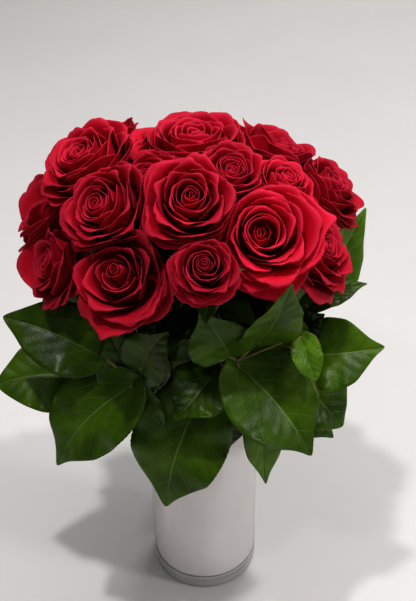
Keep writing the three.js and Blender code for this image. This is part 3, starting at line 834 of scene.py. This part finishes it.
def spline_points(points, steps):
    """Points of a smooth curve through the given ones (centripetal, as in the frame)."""
    points = [np.array(point, float) for point in points]
    points = [2 * points[0] - points[1]] + points + [2 * points[-1] - points[-2]]
    found = []
    for start in range(len(points) - 3):
        a, b, c, d = points[start : start + 4]
        t0 = 0
        t1 = np.linalg.norm(b - a) ** 0.5
        t2 = t1 + np.linalg.norm(c - b) ** 0.5
        t3 = t2 + np.linalg.norm(d - c) ** 0.5
        for step in range(steps):
            t = t1 + (t2 - t1) * step / steps
            ab = passing(a, b, t0, t1, t)
            bc = passing(b, c, t1, t2, t)
            cd = passing(c, d, t2, t3, t)
            found.append(passing(passing(ab, bc, t0, t2, t), passing(bc, cd, t1, t3, t), t1, t2, t))
    found.append(points[-2])
    return found


TWIG_STEPS = 6
TWIG_SIDES = 8
STALK_STEPS = 4
STALK_SIDES = 7
STALK_RADII = (1.35, 0.55)
STALK_RISE = Vector((0, 0, 1.5 * MM))
STALK_UNDER_BLADE = 6


def make_sprig(index, leaf_material, twig_material):
    sprig = SPRIGS[index]
    rng = np.random.default_rng(SPRIG_DRAW + index)
    azimuth = sprig["lean"] - TWIG_TURN
    foot = leaning_point(TWIG_RING, azimuth, STEM_START)
    bend = leaning_point(TWIG_RING, azimuth, TWIG_STRAIGHT_UNTIL)
    rim = polar(TWIG_LEAN_RADIUS, sprig["lean"], VASE_HEIGHT)
    bends = [bend, rim] + [Vector(point) * MM for point in sprig["path"]]
    shares = np.linspace(0, 1, TWIG_STEPS, endpoint=False)
    path = [foot.lerp(bend, share) for share in shares]
    path += [Vector(point) for point in spline_points(bends, TWIG_STEPS)]
    twigs = Sheets()
    radii = [TWIG_RADIUS * (1 - 0.25 * step / len(path)) for step in range(len(path))]
    grid = tube(path, radii, TWIG_SIDES, level_foot=True)
    add_round(twigs, grid, rng.random())
    blades = Sheets()
    for leaf in sprig["leaves"]:
        grid, mark_u, mark_v, vein = leaf_grid(leaf, rng)
        tone = leaf.get("tone", rng.uniform(0.75, 1.25))
        blades.add(grid, mark_u, mark_v, rng.random(), tone=tone, vein=vein)
        start = Vector(sprig["path"][leaf["joint"]]) * MM
        end = Vector(leaf["base"]) * MM
        ahead = (Vector(leaf["tip"]) * MM - end).normalized()
        middle = start.lerp(end, 0.55) + STALK_RISE
        under_blade = end + ahead * STALK_UNDER_BLADE * MM
        points = spline_points([start, middle, end, under_blade], STALK_STEPS)
        radii = np.linspace(*STALK_RADII, len(points)) * MM
        add_round(twigs, tube(points, radii, STALK_SIDES), rng.random())
    number = f"{index + 1:02d}"
    leaves = blades.to_object(f"sprig_{number}_leaves", leaf_material, LEAF_THICKNESS)
    twig = twigs.to_object(f"sprig_{number}_twig", twig_material)
    for piece in (leaves, twig):
        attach(piece, "root")
        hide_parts(f"leaf_sprig_{number}")


# The small top leaves of a stem: where they grow (share of the way up its bend), how long they
# are (mm), how wide (share of their length) and how bright, how far to each side they spread
# (degrees), and how much shorter and lower (degrees) they are close under the bloom.
TOP_LEAF_PLACES = (0.24, 0.38, 0.52, 0.66, 0.78, 0.88, 0.96)
TOP_LEAF_LENGTHS = (34, 50)
TOP_LEAF_WIDTH = 0.62
# The top leaves are drawn dark, which paints the shade of the bloom above them.
TOP_LEAF_PAINTED_SHADE = 0.42
TOP_LEAF_SPREAD = 75
TOP_LEAF_SHRINKING = 0.4
TOP_LEAF_DROOP = 40


def make_top_leaves(index, material):
    """The small top leaves of a rose's stem, which hang under its bloom."""
    rose = ROSES[index]
    rng = np.random.default_rng(TOP_LEAF_DRAW + rose.get("leaf_draw", index))
    path = stem_path(rose)
    blades = Sheets()
    outward = azimuth_of(path[-1])
    for place in TOP_LEAF_PLACES:
        start = path[-STEM_STEPS + int(place * (STEM_STEPS - 1))] / MM
        nearness = smooth_step(0.6, 1.0, place)
        azimuth = outward + rng.uniform(-TOP_LEAF_SPREAD, TOP_LEAF_SPREAD)
        base = start + direction(azimuth, rng.uniform(-10, 30)) * (STEM_RADIUS / MM + 2)
        length = rng.uniform(*TOP_LEAF_LENGTHS) * (1 - TOP_LEAF_SHRINKING * nearness)
        slope = rng.uniform(-45, 15) - TOP_LEAF_DROOP * nearness
        tip = base + direction(azimuth, slope) * length
        look = (azimuth, rng.uniform(30, 70))
        leaf = {"base": base, "tip": tip, "width": length * TOP_LEAF_WIDTH, "look": look}
        grid, mark_u, mark_v, vein = [numbers[::2, ::2] for numbers in leaf_grid(leaf, rng)]
        blades.add(grid, mark_u, mark_v, rng.random(), tone=TOP_LEAF_PAINTED_SHADE, vein=vein)
    number = f"{index + 1:02d}"
    piece = blades.to_object(f"rose_{number}_top_leaves", material, LEAF_THICKNESS)
    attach(piece, "root")
    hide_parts(f"rose_{number}_stem")


# ---- vase

VASE_SIDES = 128
NEAR_AXIS = 0.01 * MM
WELD_DISTANCE = 0.02 * MM
ROUNDING_STEPS = 5

# How the corners of the two outlines are rounded, in the order of the corners.
CASING_ROUNDS = [0, 2.2 * MM, 0.3 * MM, 0.3 * MM, 0.2 * MM, 0]
LINING_ROUNDS = [0, 0.1 * MM, 1.2 * MM, 1.2 * MM, 1.2 * MM, 0]


def turned(name, profile, material):
    """A closed round body. Its profile starts and ends on the axis, and so do its caps."""
    angles = np.linspace(0, 2 * math.pi, VASE_SIDES, endpoint=False)
    rings = [[(r * math.cos(a), r * math.sin(a), z) for a in angles] for r, z in profile]
    sheets = Sheets()
    add_round(sheets, np.array(rings), 0.5)
    piece = sheets.to_object(name, material)
    weld = piece.modifiers.new("weld", "WELD")
    weld.merge_threshold = WELD_DISTANCE
    return piece


def rounded(before, corner, after, radius):
    """Points of a small round where an outline turns at a corner."""
    before, corner, after = Vector(before), Vector(corner), Vector(after)
    start = corner + (before - corner).normalized() * radius
    end = corner + (after - corner).normalized() * radius
    points = []
    for step in range(ROUNDING_STEPS + 1):
        share = step / ROUNDING_STEPS
        points.append(tuple(start.lerp(corner, share).lerp(corner.lerp(end, share), share)))
    return points


def rounded_outline(corners, radii):
    outline = []
    for index, corner in enumerate(corners):
        if radii[index]:
            outline += rounded(corners[index - 1], corner, corners[index + 1], radii[index])
        else:
            outline.append(corner)
    return outline


def cup_outline(bottom, floor, outside, inside, rounds):
    """The outline of a cup as tall as the vase, from under its foot to its floor inside."""
    corners = [
        (NEAR_AXIS, bottom), (outside, bottom), (outside, VASE_HEIGHT), (inside, VASE_HEIGHT),
        (inside, floor), (NEAR_AXIS, floor),
    ]
    return rounded_outline(corners, rounds)


def make_vase(glass, white):
    """The glass bends the light so that the white seems to reach its outside, and is drawn so."""
    inside = VASE_RADIUS - GLASS_SEEN
    outline = cup_outline(0, VASE_FOOT, VASE_RADIUS, inside, CASING_ROUNDS)
    casing = turned("vase_clear_casing", outline, glass)
    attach(casing, "root")
    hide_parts("vase_glass")
    hollow = VASE_RADIUS - VASE_WALL - LINING_GAP - LINING_WALL
    floor = VASE_FOOT + LINING_FLOOR
    outline = cup_outline(VASE_FOOT, floor, inside - GAP_SEEN, hollow, LINING_ROUNDS)
    lining = turned("vase_lining", outline, white)
    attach(lining, "root")
    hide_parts("vase_white_lining")


# ---- materials


class Nodes:
    """Short words for building one material's node tree."""

    def __init__(self, name):
        self.material = bpy.data.materials.new(name)
        self.material.use_nodes = True
        self.tree = self.material.node_tree
        self.shader = self.tree.nodes["Principled BSDF"]

    def add(self, kind, **settings):
        node = self.tree.nodes.new(kind)
        for key, value in settings.items():
            setattr(node, key, value)
        return node

    def link(self, source, target):
        self.tree.links.new(source, target)

    def value(self, **values):
        for key, number in values.items():
            self.shader.inputs[key.replace("_", " ")].default_value = number

    def paint(self, colour):
        self.link(colour, self.shader.inputs["Base Color"])

    def feed(self, sockets, given):
        """Sets sockets to numbers and colours, or links them to what other nodes give."""
        for socket, source in zip(sockets, given):
            if isinstance(source, (int, float)):
                socket.default_value = source
            elif isinstance(source, tuple):
                socket.default_value = (*source, 1)
            else:
                self.link(source, socket)

    def place(self):
        """The marking on each point: across, along and chance."""
        marking = self.add("ShaderNodeAttribute", attribute_name="place")
        parts = self.add("ShaderNodeSeparateXYZ")
        self.link(marking.outputs["Vector"], parts.inputs[0])
        return parts.outputs

    def maths(self, operation, *given):
        node = self.add("ShaderNodeMath", operation=operation)
        self.feed(node.inputs, given)
        return node.outputs[0]

    def times(self, a, b):
        return self.maths("MULTIPLY", a, b)

    def rest(self, share):
        return self.maths("SUBTRACT", 1.0, share)

    def capped(self, source, factor):
        return self.maths("MINIMUM", self.times(source, factor), 1.0)

    def noise(self, scale, detail=3, vector=None):
        """Noise over the object, or over the vector that is given."""
        node = self.add("ShaderNodeTexNoise")
        node.inputs["Scale"].default_value = scale
        node.inputs["Detail"].default_value = detail
        self.link(vector or self.coordinates(), node.inputs["Vector"])
        return node.outputs["Fac"]

    def streaks(self, place, across, along, detail):
        """Noise that is drawn out along a piece. across and along say how fast it changes."""
        vector = self.vector(self.times(place[0], across), self.times(place[1], along), place[2])
        return self.noise(1.0, detail, vector)

    def coordinates(self):
        return self.add("ShaderNodeTexCoord").outputs["Object"]

    def vector(self, *given):
        node = self.add("ShaderNodeCombineXYZ")
        self.feed(node.inputs, given)
        return node.outputs[0]

    def ramp(self, source, stops):
        node = self.add("ShaderNodeValToRGB")
        band = node.color_ramp
        while len(band.elements) < len(stops):
            band.elements.new(0.5)
        for element, (place, colour) in zip(band.elements, stops):
            element.position = place
            element.color = (*colour, 1)
        self.link(source, node.inputs[0])
        return node.outputs["Color"]

    def mix(self, share, first, second):
        node = self.add("ShaderNodeMix", data_type="RGBA")
        colours = [socket for socket in node.inputs if socket.type == "RGBA"]
        self.feed([node.inputs[0], *colours], (share, first, second))
        return [socket for socket in node.outputs if socket.type == "RGBA"][0]

    def number(self, name):
        return self.add("ShaderNodeAttribute", attribute_name=name).outputs["Fac"]

    def spread(self, source, low, high):
        """A source from 0 to 1 spread between two numbers."""
        return self.maths("ADD", self.times(source, high - low), low)

    def scaled(self, colour, factor):
        node = self.add("ShaderNodeVectorMath", operation="SCALE")
        self.link(colour, node.inputs[0])
        self.link(factor, node.inputs["Scale"])
        return node.outputs[0]

    def bump(self, height, distance, strength=1.0):
        node = self.add("ShaderNodeBump")
        node.inputs["Distance"].default_value = distance
        node.inputs["Strength"].default_value = strength
        self.link(height, node.inputs["Height"])
        self.link(node.outputs[0], self.shader.inputs["Normal"])


def petal_material():
    m = Nodes("rose_petal")
    place = m.place()
    fine = m.streaks(place, 26, 3, 2)
    broad = m.noise(60)
    # Painted shade and highlight: each petal is drawn darker towards its base, where the bloom's
    # depths lie in shade, and pinker at its rim, where its edges catch the light.
    bright = m.ramp(place[1], [
        (0.0, (0.14, 0.0006, 0.0040)), (0.45, (0.40, 0.0022, 0.0150)),
        (0.88, (0.54, 0.0042, 0.0260)), (1.0, (0.68, 0.0260, 0.0720)),
    ])
    blotched = m.mix(m.times(broad, 0.5), bright, (0.33, 0.0006, 0.0080))
    vein = m.maths("GREATER_THAN", fine, 0.56)
    veined = m.mix(m.times(vein, 0.12), blotched, (0.14, 0.0, 0.003))
    m.paint(m.scaled(veined, m.times(m.number("tone"), m.spread(place[2], 0.82, 1.1))))
    m.value(Roughness=0.68, Sheen_Weight=0.10, Sheen_Roughness=0.5, Specular_IOR_Level=0.12)
    m.value(Sheen_Tint=(1.0, 0.16, 0.28, 1))
    m.bump(fine, 0.12 * MM, 0.5)
    return m.material


def leaf_material():
    m = Nodes("leaf")
    size = m.maths("ABSOLUTE", m.place()[0])
    waves = m.maths("ABSOLUTE", m.maths("SINE", m.times(m.number("vein"), math.pi)))
    side_vein = m.times(m.rest(m.capped(waves, 11.0)), m.rest(m.maths("POWER", size, 3.0)))
    midrib = m.rest(m.capped(size, 34.0))
    vein = m.maths("MAXIMUM", m.times(side_vein, 0.5), midrib)
    net = m.add("ShaderNodeTexVoronoi", feature="DISTANCE_TO_EDGE")
    net.inputs["Scale"].default_value = 420
    m.link(m.coordinates(), net.inputs["Vector"])
    cells = m.capped(net.outputs["Distance"], 6.0)
    shade = m.noise(38)
    green = m.ramp(shade, [
        (0.3, (0.022, 0.052, 0.0012)), (0.5, (0.042, 0.094, 0.0022)),
        (0.75, (0.080, 0.160, 0.0050)),
    ])
    netted = m.mix(m.times(m.rest(cells), 0.25), green, (0.075, 0.120, 0.018))
    veined = m.mix(m.times(vein, 0.70), netted, (0.180, 0.260, 0.075))
    margin = m.maths("GREATER_THAN", m.maths("ADD", m.times(size, 1.6), shade), 2.19)
    edged = m.mix(m.times(margin, 0.7), veined, (0.085, 0.050, 0.012))
    m.paint(m.scaled(edged, m.number("tone")))
    m.value(Roughness=0.32, Specular_IOR_Level=0.20)
    m.bump(m.maths("SUBTRACT", m.times(cells, 0.25), vein), 0.25 * MM, 0.6)
    return m.material


def bark_material(name, streaks, stops, roughness, grain, strength):
    """Streaked green or brown skin with a fine grain."""
    m = Nodes(name)
    m.paint(m.ramp(m.streaks(m.place(), *streaks), stops))
    m.value(Roughness=roughness)
    m.bump(m.noise(grain), 0.15 * MM, strength)
    return m.material


def stem_material():
    green = [(0.3, (0.035, 0.085, 0.014)), (0.55, (0.075, 0.15, 0.03)), (0.8, (0.14, 0.15, 0.05))]
    return bark_material("rose_stem", (9, 6, 3), green, 0.5, 500, 0.5)


def twig_material():
    brown = [(0.3, (0.10, 0.10, 0.026)), (0.55, (0.20, 0.17, 0.05)), (0.8, (0.32, 0.24, 0.08))]
    return bark_material("leaf_twig", (7, 14, 4), brown, 0.55, 700, 0.6)


def glass_material():
    """Clear glass, except its thick foot, which is painted a streaked grey that stands for the
    shaded floor seen through clear glass.
    """
    m = Nodes("clear_glass")
    parts = m.add("ShaderNodeSeparateXYZ")
    m.link(m.coordinates(), parts.inputs[0])
    height = parts.outputs[2]
    # Painted shade: from under the foot to a little above it, the glass is drawn as streaked grey,
    # which stands for the shaded floor seen through the clear foot.
    in_foot = m.maths("LESS_THAN", height, VASE_FOOT + FOOT_DEPTH_SEEN)
    turning = m.vector(m.times(parts.outputs[0], 9), 0.0, m.times(height, 620))
    streak = m.noise(1.0, 3, turning)
    cloud = m.times(in_foot, m.spread(streak, 0.8, 1.0))
    m.paint(m.ramp(streak, [(0.3, (0.36, 0.355, 0.34)), (0.7, (0.70, 0.69, 0.665))]))
    m.value(Roughness=0.25)
    see_through = m.add("ShaderNodeBsdfTransparent")
    see_through.inputs[0].default_value = (0.985, 0.98, 0.98, 1)
    gloss = m.add("ShaderNodeBsdfGlossy")
    gloss.inputs["Roughness"].default_value = 0.03
    fresnel = m.add("ShaderNodeFresnel")
    fresnel.inputs["IOR"].default_value = 1.5
    clear = m.add("ShaderNodeMixShader")
    painted_foot_grey = m.add("ShaderNodeMixShader")
    geometry = m.add("ShaderNodeNewGeometry")
    outside = m.maths("SUBTRACT", 1.0, geometry.outputs["Backfacing"])
    glossy = m.times(fresnel.outputs[0], outside)
    m.feed(clear.inputs, (glossy, see_through.outputs[0], gloss.outputs[0]))
    m.feed(painted_foot_grey.inputs, (cloud, clear.outputs[0], m.shader.outputs[0]))
    m.link(painted_foot_grey.outputs[0], m.tree.nodes["Material Output"].inputs["Surface"])
    return m.material


def white_material():
    m = Nodes("white_glass")
    cloud = m.noise(14)
    m.paint(m.ramp(cloud, [(0.3, (0.83, 0.805, 0.797)), (0.7, (0.87, 0.845, 0.837))]))
    m.value(Roughness=0.30)
    return m.material


# ---- stage


FLOOR_REACH = 6  # metres
FLOOR_LINES = 25


def make_floor():
    sheets = Sheets()
    span = np.linspace(-FLOOR_REACH, FLOOR_REACH, FLOOR_LINES)
    x, y = np.meshgrid(span, span, indexing="xy")
    sheets.add(np.stack([x, y, np.zeros_like(x)], axis=-1), x, y, 0.5)
    m = Nodes("floor")
    cloud = m.noise(3, 4)
    m.paint(m.ramp(cloud, [(0.3, (0.82, 0.805, 0.795)), (0.7, (0.85, 0.835, 0.825))]))
    m.value(Roughness=0.75)
    m.bump(m.noise(220), 0.3 * MM, 0.2)
    floor = sheets.to_object("floor", m.material)


def add_light(name, place, target, size, power, colour):
    data = bpy.data.lights.new(name, "AREA")
    data.shape = "DISK"
    data.size = size
    data.energy = power
    data.color = colour
    light = bpy.data.objects.new(name, data)
    light.location = place
    light.rotation_euler = (Vector(target) - Vector(place)).to_track_quat("-Z", "Y").to_euler()
    bpy.context.scene.collection.objects.link(light)


SKY_STRENGTH = 0.10
BOUQUET = (0, 0, 0.3)
LAMPS = [
    # name, place, what it lights, size (m), power (W) and colour
    ("right_lamp", (0.75, -0.20, 2.3), BOUQUET, 0.12, 11.5, (1.0, 0.98, 0.96)),
    ("left_lamp", (-0.32, -0.40, 2.3), BOUQUET, 0.11, 13.0, (1.0, 0.985, 0.975)),
    ("front_lamp", (-0.60, -1.10, 2.1), BOUQUET, 0.14, 3.0, (1.0, 0.985, 0.975)),
    ("ceiling", (0, 0, 2.9), BOUQUET, 2.4, 13.5, (1.0, 0.99, 0.98)),
    ("right_window", (1.75, -0.60, 1.15), (0, 0, 0.2), 0.40, 8.0, (1.0, 0.99, 0.985)),
    ("back_panel", (1.1, 2.5, 2.4), (0.5, 1.7, 0), 1.6, 23, (1.0, 0.99, 0.99)),
]


def make_lights():
    world = bpy.data.worlds.new("studio")
    world.use_nodes = True
    sky = world.node_tree.nodes["Background"].inputs
    sky["Color"].default_value = (1.0, 0.985, 0.97, 1)
    sky["Strength"].default_value = SKY_STRENGTH
    bpy.context.scene.world = world
    bpy.context.scene.view_settings.view_transform = "Standard"
    bpy.context.scene.view_settings.look = "Medium High Contrast"
    for lamp in LAMPS:
        add_light(*lamp)


# The camera of the photograph: its focal length in pixels, its downward tilt and its roll in
# degrees, the pixel where the centre of the vase's foot is seen, and how far off that is.
IMAGE_WIDTH = 416
IMAGE_HEIGHT = 601
FOCAL_PIXELS = 950
TILT = 34.9
ROLL = 1.0
FOOT_PIXEL = (205.2, 547.5)
FOOT_DISTANCE = 0.969
SENSOR = 36


def make_camera():
    tilt = math.radians(TILT)
    roll = math.radians(ROLL)
    ahead = Vector((0, math.cos(tilt), -math.sin(tilt)))
    level = Vector((1, 0, 0))
    upward = Vector((0, math.sin(tilt), math.cos(tilt)))
    right = level * math.cos(roll) - upward * math.sin(roll)
    up = level * math.sin(roll) + upward * math.cos(roll)
    sideways = (FOOT_PIXEL[0] - IMAGE_WIDTH / 2) / FOCAL_PIXELS * FOOT_DISTANCE
    below = (FOOT_PIXEL[1] - IMAGE_HEIGHT / 2) / FOCAL_PIXELS * FOOT_DISTANCE
    place = -(ahead * FOOT_DISTANCE + right * sideways - up * below)
    data = bpy.data.cameras.new("camera")
    data.lens = FOCAL_PIXELS / IMAGE_HEIGHT * SENSOR
    data.sensor_width = SENSOR
    data.dof.use_dof = False
    camera = bpy.data.objects.new("camera", data)
    turned_axes = Matrix((right, up, -ahead)).transposed().to_4x4()
    camera.matrix_world = Matrix.Translation(place) @ turned_axes
    bpy.context.scene.collection.objects.link(camera)
    bpy.context.scene.camera = camera


# ---- the whole

make_camera()
make_lights()
make_floor()

petals = petal_material()
stems = stem_material()
leaves = leaf_material()
twigs = twig_material()

make_vase(glass_material(), white_material())
for rose_index in range(len(ROSES)):
    make_bloom(rose_index, petals)
    make_stem(rose_index, stems)
    make_top_leaves(rose_index, leaves)
for sprig_index in range(len(SPRIGS)):
    make_sprig(sprig_index, leaves, twigs)
